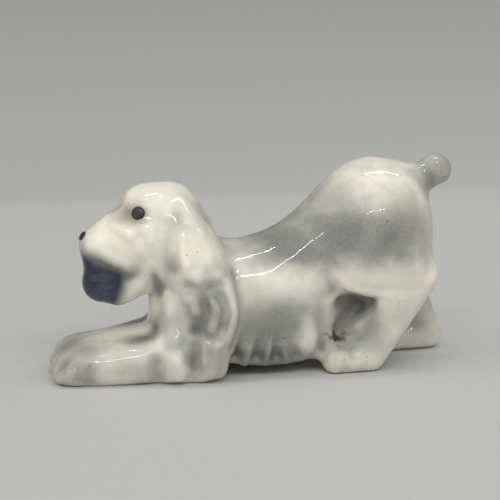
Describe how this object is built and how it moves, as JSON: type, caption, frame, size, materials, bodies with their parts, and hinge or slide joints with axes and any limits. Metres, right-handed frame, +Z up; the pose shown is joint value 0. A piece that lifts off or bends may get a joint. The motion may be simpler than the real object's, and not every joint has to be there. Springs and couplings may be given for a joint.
{
  "type": "dog figurine",
  "caption": "Glazed porcelain spaniel in a play bow, forelegs flat and rump raised, with a blue ball in its mouth; a miniature shelf ornament that stands on its paws.",
  "frame": {"origin": "middle of the footprint, on the surface that the paws stand on", "axes": "-X towards the nose, -Y towards the dog's left side, +Z up"},
  "size_m": [0.0665, 0.0232, 0.0334],
  "materials": {
    "white_glaze": "glossy",
    "blue_glaze": "glossy",
    "black_enamel": "glossy"
  },
  "bodies": {
    "root": {"torso": "white_glaze", "head": "white_glaze", "mouth_ball": "blue_glaze", "nose_tip": "black_enamel", "left_eye": "black_enamel", "right_eye": "black_enamel", "left_ear": "white_glaze", "right_ear": "white_glaze", "left_foreleg": "white_glaze", "right_foreleg": "white_glaze", "left_hind_leg": "white_glaze", "right_hind_leg": "white_glaze", "tail": "white_glaze"}
  },
  "joints": []
}
